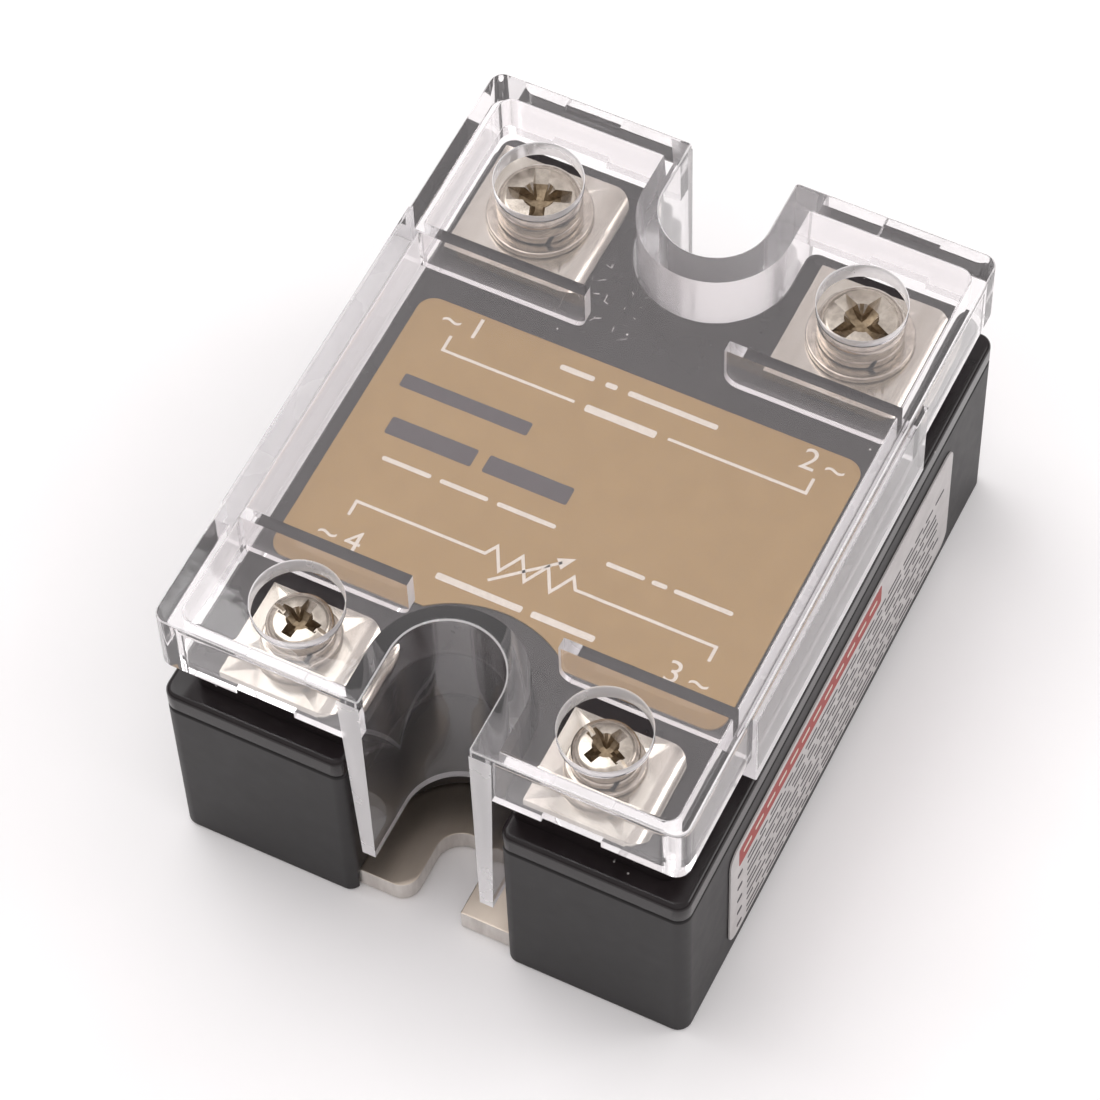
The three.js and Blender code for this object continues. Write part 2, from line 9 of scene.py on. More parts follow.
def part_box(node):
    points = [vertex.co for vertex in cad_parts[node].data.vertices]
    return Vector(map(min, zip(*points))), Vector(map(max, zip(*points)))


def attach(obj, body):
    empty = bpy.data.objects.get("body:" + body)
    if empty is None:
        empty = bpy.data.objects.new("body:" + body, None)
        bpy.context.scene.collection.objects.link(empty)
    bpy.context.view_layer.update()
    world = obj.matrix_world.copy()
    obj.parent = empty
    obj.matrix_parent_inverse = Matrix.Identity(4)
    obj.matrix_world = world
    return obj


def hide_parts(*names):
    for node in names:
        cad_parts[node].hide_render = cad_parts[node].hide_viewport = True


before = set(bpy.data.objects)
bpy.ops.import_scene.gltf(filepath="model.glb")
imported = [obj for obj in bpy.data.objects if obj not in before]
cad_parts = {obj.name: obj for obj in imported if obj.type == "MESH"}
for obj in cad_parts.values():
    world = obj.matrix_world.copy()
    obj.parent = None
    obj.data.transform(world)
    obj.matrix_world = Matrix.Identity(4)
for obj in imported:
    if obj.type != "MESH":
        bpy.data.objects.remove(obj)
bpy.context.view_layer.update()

# ---- Studio ----------------------------------------------------------------------------------
# A pale sheet of card on a bench, in a white room whose walls are darker low down: metal and clear
# edges mirror them. The camera looks down on the relay's control end from its right-hand side.

camera_place = (0.089636, -0.171388, 0.317098)  # metres
camera_turn = (32.3062, 1.0991, 26.1676)  # degrees about X, Y and Z
camera_lens = 146.487  # millimetres, as the sensor's width is
camera_sensor = 36
camera_shift = (-0.024585, 0.017968)
camera_near = 0.01

camera_data = bpy.data.cameras.new("bench_camera")
camera_data.lens = camera_lens
camera_data.sensor_width = camera_sensor
camera_data.shift_x, camera_data.shift_y = camera_shift
camera_data.clip_start = camera_near
camera = bpy.data.objects.new("bench_camera", camera_data)
camera.location = camera_place
camera.rotation_euler = Euler([math.radians(turn) for turn in camera_turn])
bpy.context.collection.objects.link(camera)
bpy.context.scene.camera = camera
bpy.context.scene.view_settings.view_transform = "Standard"

room_light = 0.92
wall_foot, wall_foot_tone = 0.1, (0.5, 0.48, 0.485, 1)  # sine of its height angle, colour
wall_band, wall_band_tone = 0.24, (0.3, 0.285, 0.29, 1)
wall_top, wall_top_tone = 0.42, (1.0, 0.97, 0.975, 1)
room = bpy.data.worlds.new("white_room")
room.use_nodes = True
room_nodes, room_link = room.node_tree.nodes, room.node_tree.links.new
room_nodes["Background"].inputs["Strength"].default_value = room_light
room_way = room_nodes.new("ShaderNodeTexCoord")
room_height = room_nodes.new("ShaderNodeSeparateXYZ")
room_link(room_way.outputs["Generated"], room_height.inputs["Vector"])
room_wall = room_nodes.new("ShaderNodeValToRGB")
room_wall.color_ramp.interpolation = "EASE"
wall_tones = room_wall.color_ramp.elements
wall_tones[0].position, wall_tones[0].color = wall_foot, wall_foot_tone
wall_tones[1].position, wall_tones[1].color = wall_top, wall_top_tone
wall_tones.new(wall_band).color = wall_band_tone
room_link(room_height.outputs["Z"], room_wall.inputs["Fac"])
room_link(room_wall.outputs["Color"], room_nodes["Background"].inputs["Color"])
bpy.context.scene.world = room

lamps = {  # place in metres, side in metres, watts
    "softbox_above": ((-0.35, 0.1, 0.75), 0.5, 2.0),
    "softbox_right": ((0.55, 0.35, 0.52), 0.26, 0.8),
}
for name, (place, size, power) in lamps.items():
    lamp_data = bpy.data.lights.new(name, "AREA")
    lamp_data.size = size
    lamp_data.energy = power
    lamp = bpy.data.objects.new(name, lamp_data)
    lamp.location = place
    lamp.rotation_euler = Vector(place).to_track_quat("Z", "Y").to_euler()
    bpy.context.collection.objects.link(lamp)


def inked(red, green, blue):
    """The shader's colour for a swatch read from 0 to 255."""
    def level(value):
        share = value / 255
        return share / 12.92 if share <= 0.04045 else ((share + 0.055) / 1.055) ** 2.4
    return (level(red), level(green), level(blue), 1)


def noise(tree, vector, scale, detail=2.0):
    """A noise texture in a material, in bumps per metre."""
    node = tree.nodes.new("ShaderNodeTexNoise")
    node.inputs["Scale"].default_value = scale
    node.inputs["Detail"].default_value = detail
    tree.links.new(vector, node.inputs["Vector"])
    return node


def ranged(tree, value, start, end, low=0.0, high=1.0):
    """Turns a value that runs from start to end into one that runs from low to high."""
    node = tree.nodes.new("ShaderNodeMapRange")
    for socket, amount in (("From Min", start), ("From Max", end), ("To Min", low),
                           ("To Max", high)):
        node.inputs[socket].default_value = amount
    tree.links.new(value, node.inputs["Value"])
    return node


def bumped(tree, height, shader, strength, depth):
    """Raises a shader's surface by a texture, to a depth in metres."""
    node = tree.nodes.new("ShaderNodeBump")
    node.inputs["Strength"].default_value = strength
    node.inputs["Distance"].default_value = depth
    tree.links.new(height, node.inputs["Height"])
    tree.links.new(node.outputs["Normal"], shader.inputs["Normal"])


def finish(name, colour, second, roughness, metallic=0.0, cloud=900, stretch=(1, 1, 1),
           grain=6000, depth=0.0, shine=0.5):
    """A material whose colour wanders between two swatches and whose gloss wanders between two
    roughnesses, over a fine surface grain. Cloud and grain are in bumps per metre."""
    material = bpy.data.materials.new(name)
    material.use_nodes = True
    tree = material.node_tree
    nodes, link = tree.nodes, tree.links.new
    shader = nodes["Principled BSDF"]
    shader.inputs["Metallic"].default_value = metallic
    shader.inputs["Specular IOR Level"].default_value = shine
    place = nodes.new("ShaderNodeTexCoord")
    spread = nodes.new("ShaderNodeMapping")
    spread.inputs["Scale"].default_value = stretch
    link(place.outputs["Object"], spread.inputs["Vector"])
    clouds = noise(tree, spread.outputs["Vector"], cloud, 4)
    tint = nodes.new("ShaderNodeValToRGB")
    for stop, position, swatch in zip(tint.color_ramp.elements, (0.35, 0.65), (colour, second)):
        stop.position = position
        stop.color = inked(*swatch)
    link(clouds.outputs["Fac"], tint.inputs["Fac"])
    link(tint.outputs["Color"], shader.inputs["Base Color"])
    gloss = ranged(tree, clouds.outputs["Fac"], 0, 1, *roughness)
    link(gloss.outputs["Result"], shader.inputs["Roughness"])
    if depth:
        grains = noise(tree, spread.outputs["Vector"], grain)
        bumped(tree, grains.outputs["Fac"], shader, 0.6, depth)
    return material


floor_mesh = bpy.data.meshes.new("bench_card")
floor_half = 2.0
floor_level = -0.0001  # a hair under the relay
floor_mesh.from_pydata(
    [(-floor_half, -floor_half, floor_level), (floor_half, -floor_half, floor_level),
     (floor_half, floor_half, floor_level), (-floor_half, floor_half, floor_level)],
    [], [(0, 1, 2, 3)])
floor = bpy.data.objects.new("bench_card", floor_mesh)
bpy.context.collection.objects.link(floor)
floor_mesh.materials.append(
    finish("pale_card", (250, 249, 249), (253, 252, 252), (0.85, 0.95), cloud=40))

# ---- Base plate ------------------------------------------------------------------------------
# Stamped and nickel-washed steel plate that carries the heat away. Its flat faces are satin, its
# sheared edges are paler. It has a round mounting hole at the far end and a slot at the near end.

MM = 0.001
WELD = 0.00001  # points of one drawing that are as close as this are one, in its millimetres
SLIVER = 0.0001 * MM
ABOVE = 1.0  # how far a cutting tool stands out of what it cuts
mount_inset = 5.45  # from the case's end to each mounting point
mount_width = 4.4
slot_mouth_radius = 1.6
plate_ease = 0.14


def box_mm(node):
    """A node's lowest and highest corners in millimetres."""
    low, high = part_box(node)
    return low / MM, high / MM


def arc(x, y, radius, start, end, steps=24):
    """Points along an arc about (x, y), from one angle to another in degrees."""
    points = []
    for step in range(steps + 1):
        angle = math.radians(start + (end - start) * step / steps)
        points.append((x + radius * math.cos(angle), y + radius * math.sin(angle)))
    return points


def piece_from(name, shape):
    """A piece made from a bmesh drawn in millimetres."""
    bmesh.ops.remove_doubles(shape, verts=shape.verts, dist=WELD)
    bmesh.ops.recalc_face_normals(shape, faces=shape.faces)
    bmesh.ops.scale(shape, vec=(MM, MM, MM), verts=shape.verts)
    made = bpy.data.meshes.new(name)
    shape.to_mesh(made)
    shape.free()
    piece = bpy.data.objects.new(name, made)
    bpy.context.collection.objects.link(piece)
    return piece


def lofted(name, rings):
    """A closed piece skinned over rings of (x, y, z) points, each ring as long as the next."""
    shape = bmesh.new()
    rows = [[shape.verts.new(point) for point in ring] for ring in rings]
    count = len(rings[0])
    for below, above in zip(rows, rows[1:]):
        for i in range(count):
            j = (i + 1) % count
            shape.faces.new((below[i], below[j], above[j], above[i]))
    shape.faces.new(rows[0][::-1])
    shape.faces.new(rows[-1])
    return piece_from(name, shape)


def prism(name, outline, low, high):
    """An outline drawn out between two heights."""
    return lofted(name, [[(x, y, z) for x, y in outline] for z in (low, high)])


def settle(piece):
    """Turns a piece's modifiers into plain mesh."""
    graph = bpy.context.evaluated_depsgraph_get()
    made = bpy.data.meshes.new_from_object(piece.evaluated_get(graph))
    piece.modifiers.clear()
    piece.data = made


def carve(piece, tool, way="DIFFERENCE"):
    """Cuts a tool piece out of a piece, or adds it with UNION, and throws the tool away."""
    step = piece.modifiers.new("carve", "BOOLEAN")
    step.operation = way
    step.solver = "EXACT"
    step.object = tool
    settle(piece)
    bpy.data.objects.remove(tool, do_unlink=True)


def eased(piece, width, segments=2):
    """Breaks a piece's sharp edges."""
    step = piece.modifiers.new("ease", "BEVEL")
    step.width = width * MM
    step.segments = segments
    step.limit_method = "ANGLE"
    step.angle_limit = math.radians(40)
    step.miter_outer = "MITER_ARC"
    settle(piece)


def smoothed(piece, angle=32):
    """Smooth faces, with creases where they meet at more than the angle. The faces without any
    area that cutting leaves behind go first."""
    shape = bmesh.new()
    shape.from_mesh(piece.data)
    many_sided = [face for face in shape.faces if len(face.verts) > 4]
    bmesh.ops.triangulate(shape, faces=many_sided)
    bmesh.ops.dissolve_degenerate(shape, edges=shape.edges, dist=SLIVER)
    shape.to_mesh(piece.data)
    shape.free()
    piece.data.shade_smooth()
    piece.data.set_sharp_from_angle(angle=math.radians(angle))
    step = piece.modifiers.new("even", "WEIGHTED_NORMAL")
    step.keep_sharp = True
    step.weight = 90


def fit(piece, body, slot, *nodes):
    """Puts a finished piece on its body, in place of its nodes."""
    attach(piece, body)
    if nodes:
        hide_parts(*nodes)


plate_low, plate_high = box_mm("base_plate")
case_low, case_high = box_mm("case_shell")
mount_y = case_high.y - mount_inset
slot_half = mount_width / 2
plate_outline = [
    (plate_high.x, plate_low.y), (plate_high.x, plate_high.y),
    (plate_low.x, plate_high.y), (plate_low.x, plate_low.y),
    *arc(-slot_half - slot_mouth_radius, plate_low.y + slot_mouth_radius, slot_mouth_radius,
         270, 360, 12),
    *arc(0, -mount_y, slot_half, 180, 0, 40),
    (slot_half, plate_low.y),
]
base_plate = prism("base_plate_stamped", plate_outline, plate_low.z, plate_high.z)
carve(base_plate, prism("drill", arc(0, mount_y, slot_half, 0, 354, 59), -ABOVE,
                        plate_high.z + ABOVE))
eased(base_plate, plate_ease)
base_plate.data.materials.append(finish(
    "plate_satin", (200, 187, 171), (214, 202, 188), (0.3, 0.44), metallic=1.0, cloud=260,
    stretch=(1, 0.15, 1), grain=9000, depth=0.000006))
base_plate.data.materials.append(finish(
    "plate_sheared", (205, 199, 194), (222, 217, 212), (0.38, 0.55), metallic=0.85, cloud=1500,
    stretch=(1, 1, 0.2), grain=5000, depth=0.00001))
for face in base_plate.data.polygons:
    face.material_index = 0 if abs(face.normal.z) > 0.7 else 1
smoothed(base_plate)
fit(base_plate, "relay", "base_metal", "base_plate")

# ---- Case ------------------------------------------------------------------------------------
# Black moulded frame, open underneath and glued over the plate's edge. Its faces have the very
# fine texture of the mould, its edges are just broken.

case_wall = 2.0
corner_radius = 1.2
notch_radius = 6.7  # the U notch over each mounting point
notch_mouth = 1.0
case_edge = 0.22
case_foot_edge = 0.1
seat_gap = 0.3
core_lift = 0.01


def notched(half_x, half_y, corner, notch, mouth, inset=0.0):
    """Plan of the relay: rounded corners and a U notch in both short sides."""
    hx, hy = half_x - inset, half_y - inset
    c, n, m = corner - inset, notch + inset, mouth - inset
    quarter = [
        *arc(hx - c, hy - c, c, 0, 90, 8),
        *arc(n + m, hy - m, m, 90, 180, 8),
        *arc(0, mount_y, n, 0, -180, 48),
        *arc(-n - m, hy - m, m, 0, 90, 8),
        *arc(c - hx, hy - c, c, 90, 180, 8),
    ]
    return quarter + [(-x, -y) for x, y in quarter]


def rounded_rings(plan, low, high, ease_low, ease_high, steps=4):
    """Rings of a plan with its lower and upper edges rounded. The plan is asked for its inset."""
    rings = []
    for step in range(steps + 1):
        turn = math.pi / 2 * step / steps
        z = low + ease_low * (1 - math.cos(turn))
        rings.append([(x, y, z) for x, y in plan(ease_low * (1 - math.sin(turn)))])
    for step in range(steps + 1):
        turn = math.pi / 2 * step / steps
        z = high - ease_high * (1 - math.sin(turn))
        rings.append([(x, y, z) for x, y in plan(ease_high * (1 - math.cos(turn)))])
    return rings


def block(name, x0, x1, y0, y1, z0, z1):
    """A straight-sided tool or boss between two corners."""
    return prism(name, [(x0, y0), (x1, y0), (x1, y1), (x0, y1)], z0, z1)


case = lofted("case_moulded", rounded_rings(
    lambda inset: notched(case_high.x, case_high.y, corner_radius, notch_radius, notch_mouth,
                          inset),
    case_low.z, case_high.z, case_foot_edge, case_edge))
carve(case, prism("core", notched(
    case_high.x - case_wall, case_high.y - case_wall, corner_radius, notch_radius + case_wall,
    notch_mouth), plate_high.z + core_lift, case_high.z + ABOVE))
carve(case, block("seat", plate_low.x - seat_gap, plate_high.x + seat_gap,
                  plate_low.y - seat_gap, plate_high.y + seat_gap, -ABOVE,
                  plate_high.z + seat_gap))
case.data.materials.append(finish(
    "case_black", (24, 21, 22), (29, 26, 27), (0.42, 0.55), cloud=700, grain=14000,
    depth=0.000008, shine=0.38))
smoothed(case)
fit(case, "relay", "case_plastic", "case_shell")

# ---- Lid -------------------------------------------------------------------------------------
# Glossy black moulding: a rim that meets the case at the parting line, and a raised plateau with
# hexagonal pockets for the captive nuts and slots for the terminals' tabs. A little dust lies on
# it, and a patch beside the far notch is scuffed.

rim_height = 2.0
plateau_inset = 1.8
lid_wall = 1.8
lid_roof = 2.0
rim_edge, rim_foot_edge = 0.5, 0.12
plateau_edge = 0.25
plateau_sink = 0.3  # how deep the plateau starts inside the rim
notch_step = 0.02  # keeps the plateau's notch wall off the rim's
boss_wall = 1.4
pocket_gap = 0.3
pocket_corner_gap = pocket_gap * 1.15
tab_depth = 0.9
tab_widths = {"load": 4.0, "control": 3.2}
screw_bores = {"load": 2.3, "control": 1.8}
dust_spread = 420  # cells per metre, each with one speck
dust_sizes = (0.05, 0.02)  # where a speck ends and where it is full, as shares of its cell
scuff_cells, scuff_widths = 640, (0.035, 0.005)
scuff_breaks, scuff_cuts = 900, (0.56, 0.64)
scuff_place, scuff_fade = (-5.5, 16.2), (4.6, 2.4)  # radii where it ends and where it is full
terminals = ("load_1", "load_2", "control_3", "control_4")

lid_low, lid_high = box_mm("case_lid")
rim_top = lid_low.z + rim_height
plateau_x = lid_high.x - plateau_inset
plateau_y = lid_high.y - plateau_inset
lid = lofted("lid_moulded", rounded_rings(
    lambda inset: notched(lid_high.x, lid_high.y, corner_radius, notch_radius, notch_mouth,
                          inset),
    lid_low.z, rim_top, rim_foot_edge, rim_edge, 6))
carve(lid, lofted("plateau", rounded_rings(
    lambda inset: notched(plateau_x, plateau_y, corner_radius, notch_radius + notch_step,
                          notch_mouth, inset),
    lid_low.z + plateau_sink, lid_high.z, 0, plateau_edge)), "UNION")
core = prism("core", notched(
    plateau_x - lid_wall, plateau_y - lid_wall, corner_radius, notch_radius + lid_wall,
    notch_mouth), lid_low.z - ABOVE, lid_high.z - lid_roof)
places = {}  # each terminal's screw axis
for name in terminals:
    screw_low, screw_high = box_mm("terminal_screw_" + name)
    nut_low, nut_high = box_mm("captive_nut_" + name)
    x, y = (screw_low.x + screw_high.x) / 2, (screw_low.y + screw_high.y) / 2
    places[name] = (x, y)
    reach_x = (nut_high.x - nut_low.x) / 2 + pocket_gap + boss_wall
    reach_y = (nut_high.y - nut_low.y) / 2 + pocket_gap + boss_wall
    carve(core, block("boss", x - reach_x, x + reach_x, y - reach_y, y + reach_y,
                      min(screw_low.z, nut_low.z - pocket_gap - boss_wall), lid_high.z))
carve(lid, core)
for name, (x, y) in places.items():
    nut_low, nut_high = box_mm("captive_nut_" + name)
    tab_low, tab_high = box_mm("terminal_plate_" + name)
    side = name.split("_")[0]
    corners = (nut_high.x - nut_low.x) / 2 + pocket_corner_gap
    carve(lid, prism("pocket", arc(x, y, corners, 0, 300, 5), nut_low.z - pocket_gap,
                     lid_high.z + ABOVE))
    carve(lid, prism("bore", arc(x, y, screw_bores[side], 0, 350, 35), lid_low.z - 3 * ABOVE,
                     lid_high.z))
    tab_half = tab_widths[side] / 2 + pocket_gap
    tab_deep = tab_depth + 2 * pocket_gap
    y0 = tab_low.y - pocket_gap if y > 0 else tab_high.y + pocket_gap - tab_deep
    carve(lid, block("tab_slot", x - tab_half, x + tab_half, y0, y0 + tab_deep,
                     lid_low.z - ABOVE, lid_high.z + ABOVE))


def combined(tree, way, first, second):
    """Multiplies two values in a material, or takes the larger of them."""
    node = tree.nodes.new("ShaderNodeMath")
    node.operation = way
    tree.links.new(first, node.inputs[0])
    tree.links.new(second, node.inputs[1])
    return node.outputs["Value"]


def cells(tree, vector, scale, feature):
    """The distance to the nearest cell's centre or edge, for specks and hairlines."""
    node = tree.nodes.new("ShaderNodeTexVoronoi")
    node.feature = feature
    node.inputs["Scale"].default_value = scale
    tree.links.new(vector, node.inputs["Vector"])
    return node.outputs["Distance"]


lid_black = finish("lid_black", (26, 21, 22), (31, 26, 27), (0.1, 0.22), cloud=350, grain=500,
                   depth=0.000002, shine=0.3)
lid_tree = lid_black.node_tree
lid_place = lid_tree.nodes["Texture Coordinate"].outputs["Object"]
dust = ranged(lid_tree, cells(lid_tree, lid_place, dust_spread, "F1"), *dust_sizes)
hairlines = ranged(lid_tree, cells(lid_tree, lid_place, scuff_cells, "DISTANCE_TO_EDGE"),
                   *scuff_widths)
broken = ranged(lid_tree, noise(lid_tree, lid_place, scuff_breaks).outputs["Fac"], *scuff_cuts)
away = lid_tree.nodes.new("ShaderNodeVectorMath")
away.operation = "DISTANCE"
away.inputs[1].default_value = (scuff_place[0] * MM, scuff_place[1] * MM, lid_high.z * MM)
lid_tree.links.new(lid_place, away.inputs[0])
patch = ranged(lid_tree, away.outputs["Value"], *(reach * MM for reach in scuff_fade))
scuffs = combined(lid_tree, "MULTIPLY", combined(
    lid_tree, "MULTIPLY", hairlines.outputs["Result"], broken.outputs["Result"]),
    patch.outputs["Result"])
worn = lid_tree.nodes.new("ShaderNodeMix")
worn.data_type = "RGBA"
worn.inputs["B"].default_value = inked(190, 186, 184)
lid_tree.links.new(combined(lid_tree, "MAXIMUM", scuffs, dust.outputs["Result"]),
                   worn.inputs["Factor"])
lid_tree.links.new(lid_tree.nodes["Color Ramp"].outputs["Color"], worn.inputs["A"])
lid_tree.links.new(worn.outputs["Result"], lid_tree.nodes["Principled BSDF"].inputs["Base Color"])
lid.data.materials.append(lid_black)
smoothed(lid)
fit(lid, "relay", "lid_plastic", "case_lid")

# ---- Labels ----------------------------------------------------------------------------------
# Printed foil stickers: a gold one on the plateau with the wiring marks, and a grey one on the
# case's side with a red band over rows of small print. Only generic marks are drawn.

ink_lift = 0.012
line_width = 0.26
figure_size = 2.9
bar_corner = 0.18
label_corner, label_edge = 1.5, 0.04
label_notch = 9.7  # radius of the bite out of the gold label
side_corner = 1.4
band_y, band_z, band_lift = (-20, 6.8), (12.3, 14.9), 0.008
dash_start, dash_pitch, dash_length, dash_height = -19.2, 2.15, 1.5, 0.45
bullet_y, bullet_height = (-20.2, -19.3), 0.5
print_top, print_pitch, print_height = 10.9, 2.0, 0.34
print_start, print_last, print_end, print_gap = -18.4, 19.0, 19.6, 0.5
print_lines = (0.35, -0.5)  # above and below a bullet's middle
gold = finish("gold_foil", (145, 115, 66), (151, 121, 72), (0.45, 0.6), metallic=0.3, cloud=500,
              grain=9000, depth=0.000004)
pale_ink = finish("pale_ink", (205, 196, 184), (214, 206, 194), (0.45, 0.6), cloud=2500)
dark_ink = finish("dark_ink", (38, 27, 34), (50, 38, 44), (0.4, 0.55), cloud=2500)


def rounded_plan(x0, x1, y0, y1, corner, inset=0.0):
    """A rectangle with rounded corners."""
    c = corner - inset
    return [
        *arc(x1 - corner, y1 - corner, c, 0, 90, 10),
        *arc(x0 + corner, y1 - corner, c, 90, 180, 10),
        *arc(x0 + corner, y0 + corner, c, 180, 270, 10),
        *arc(x1 - corner, y0 + corner, c, 270, 360, 10),
    ]


label_low, label_high = box_mm("face_label")
foil = lofted("gold_label", rounded_rings(
    lambda inset: rounded_plan(label_low.x, label_high.x, label_low.y, label_high.y,
                               label_corner, inset),
    label_low.z, label_high.z, 0, label_edge, 2))
carve(foil, prism("cut", arc(0, -mount_y, label_notch, 0, 357, 119), label_low.z - ABOVE,
                  label_high.z + ABOVE))
foil.data.materials.append(gold)
smoothed(foil)
fit(foil, "relay", "label_gold", "face_label")


def add_outline(shape, outline, low, high, tilt=None):
    """Adds one closed printed patch to a bmesh, turned by the tilt if there is one."""
    rows = []
    for z in (low, high):
        points = [Vector((x, y, z)) for x, y in outline]
        rows.append([shape.verts.new(tilt @ p if tilt else p) for p in points])
    count = len(outline)
    for i in range(count):
        j = (i + 1) % count
        shape.faces.new((rows[0][i], rows[0][j], rows[1][j], rows[1][i]))
    shape.faces.new(rows[0][::-1])
    shape.faces.new(rows[1])


def line_outline(points, width):
    """The two sides of a drawn line, mitred at its bends."""
    left, right = [], []
    for i, point in enumerate(points):
        here = Vector(point)
        before = (here - Vector(points[i - 1])).normalized() if i else None
        after = (Vector(points[i + 1]) - here).normalized() if i < len(points) - 1 else None
        along = ((before or after) + (after or before)).normalized()
        side = Vector((-along.y, along.x))
        reach = width / 2 / max(0.35, abs(along.dot(before or after)))
        left.append(tuple(here + side * reach))
        right.append(tuple(here - side * reach))
    return right + left[::-1]


def bar_outline(x0, x1, y, height):
    """A printed bar with softened ends."""
    return rounded_plan(x0, x1, y - height / 2, y + height / 2, min(bar_corner, height / 2.2))


def digit(shape, text, x, y, size, level):
    """Adds one raised figure, centred on (x, y), to a bmesh."""
    curve = bpy.data.curves.new("figure", "FONT")
    curve.body = text
    curve.size = size
    curve.align_x = "CENTER"
    curve.align_y = "CENTER"
    curve.extrude = ink_lift / 2
    curve.resolution_u = 4
    holder = bpy.data.objects.new("figure", curve)
    bpy.context.collection.objects.link(holder)
    graph = bpy.context.evaluated_depsgraph_get()
    made = bpy.data.meshes.new_from_object(holder.evaluated_get(graph))
    made.transform(Matrix.Translation((x, y, level + ink_lift / 2)))
    shape.from_mesh(made)
    bpy.data.objects.remove(holder, do_unlink=True)


label_face = label_high.z
wiring = bmesh.new()
zigzag = [(-4.6, -9.9), (-3.9, -9.9), (-3.3, -8.9), (-2.2, -10.9), (-1.1, -8.9), (0.0, -10.9),
          (1.1, -8.9), (2.2, -10.9), (3.3, -8.9), (3.9, -9.9), (4.6, -9.9)]
drawn_lines = [
    [(-15.6, 7.3), (-15.6, 5.8), (-3.9, 5.8)], [(4.3, 5.8), (16.2, 5.8), (16.2, 7.3)],
    [(-15.1, -11.3), (-15.1, -9.9), (-4.6, -9.9)], zigzag,
    [(4.6, -9.9), (15.9, -9.9), (15.9, -11.3)], [(-2.6, -12.0), (1.9, -8.1)],
]
for points in drawn_lines:
    add_outline(wiring, line_outline(points, line_width), label_face, label_face + ink_lift)
arrow_head = [(2.75, -7.35), (1.35, -7.9), (2.05, -8.75)]
add_outline(wiring, arrow_head, label_face, label_face + ink_lift)
figure_places = [("1", -14.0, 8.7), ("~", -16.2, 8.7), ("2", 15.2, 8.7), ("~", 17.4, 8.7),
                 ("4", -13.6, -13.4), ("~", -15.8, -13.4), ("3", 13.9, -13.4), ("~", 16.1, -13.4)]
for text, x, y in figure_places:
    digit(wiring, text, x, y, figure_size, label_face)
small_print = [  # each row's y and height, and where its bars start and end
    (8.4, 0.5, [(-6.4, -3.4), (-2.4, -1.4), (-0.4, 7.4)]), (5.7, 0.7, [(-2.9, 3.3)]),
    (-5.4, 0.4, [(-15.2, -10.9), (-10.1, -5.9), (-5.1, 0.0)]),
    (-6.7, 0.4, [(5.0, 8.3), (8.9, 10.2), (10.8, 15.8)]),
    (-13.3, 0.6, [(-6.4, 1.0), (1.8, 7.2)]),
]
for y, height, bars in small_print:
    for x0, x1 in bars:
        add_outline(wiring, bar_outline(x0, x1, y, height), label_face, label_face + ink_lift)
wiring_marks = piece_from("wiring_marks", wiring)
wiring_marks.data.materials.append(pale_ink)
fit(wiring_marks, "relay", "label_gold")

bold = bmesh.new()
bold_rows = [(1.9, 1.3, [(-17.2, -5.9)]), (-2.4, 1.7, [(-16.2, -8.6), (-7.6, -0.2)])]
for y, height, bars in bold_rows:
    for x0, x1 in bars:
        add_outline(bold, bar_outline(x0, x1, y, height), label_face, label_face + ink_lift)
bold_marks = piece_from("bold_marks", bold)
bold_marks.data.materials.append(dark_ink)
fit(bold_marks, "relay", "label_gold")

side_low, side_high = box_mm("side_label")
stand = Matrix(((0, 0, 1), (1, 0, 0), (0, 1, 0)))  # a sheet drawn flat, stood against the side
sheet = bmesh.new()
add_outline(sheet, rounded_plan(side_low.y, side_high.y, side_low.z, side_high.z, side_corner),
            side_low.x, side_high.x - ink_lift, stand)
side_sheet = piece_from("side_sheet", sheet)
side_sheet.data.materials.append(finish(
    "grey_foil", (190, 186, 185), (200, 196, 195), (0.5, 0.62), metallic=0.15, cloud=600,
    grain=9000, depth=0.000004))
fit(side_sheet, "relay", "label_grey", "side_label")
side_face = side_high.x - ink_lift
band_face = side_face + band_lift
band = bmesh.new()
add_outline(band, rounded_plan(*band_y, *band_z, 0.3), side_face, band_face, stand)
red_band = piece_from("red_band", band)
red_band.data.materials.append(finish("red_ink", (150, 48, 44), (162, 56, 50), (0.45, 0.6),
                                      cloud=1500))
fit(red_band, "relay", "label_grey")
dashes = bmesh.new()
for dash in range(12):
    y = dash_start + dash * dash_pitch
    add_outline(dashes, bar_outline(y, y + dash_length, sum(band_z) / 2, dash_height), band_face,
                side_high.x, stand)
band_dashes = piece_from("band_dashes", dashes)
band_dashes.data.materials.append(pale_ink)
fit(band_dashes, "relay", "label_grey")
rows = bmesh.new()
print_random = random.Random(4)
for row in range(5):
    z = print_top - row * print_pitch
    add_outline(rows, bar_outline(*bullet_y, z, bullet_height), side_face, side_high.x, stand)
    for line in print_lines:
        y = print_start
        while y < print_last:
            word = print_random.uniform(1.2, 3.6)
            if y + word > print_end:
                break
            add_outline(rows, bar_outline(y, y + word, z + line, print_height), side_face,
                        side_high.x, stand)
            y += word + print_gap
side_print = piece_from("side_print", rows)
side_print.data.materials.append(dark_ink)
fit(side_print, "relay", "label_grey")

# ---- Terminal plates -------------------------------------------------------------------------
# Nickel-plated brass strips that the wires are clamped on. Each is rolled down at its right-hand
# edge and has a tab that goes down through the lid, where its lead is soldered.

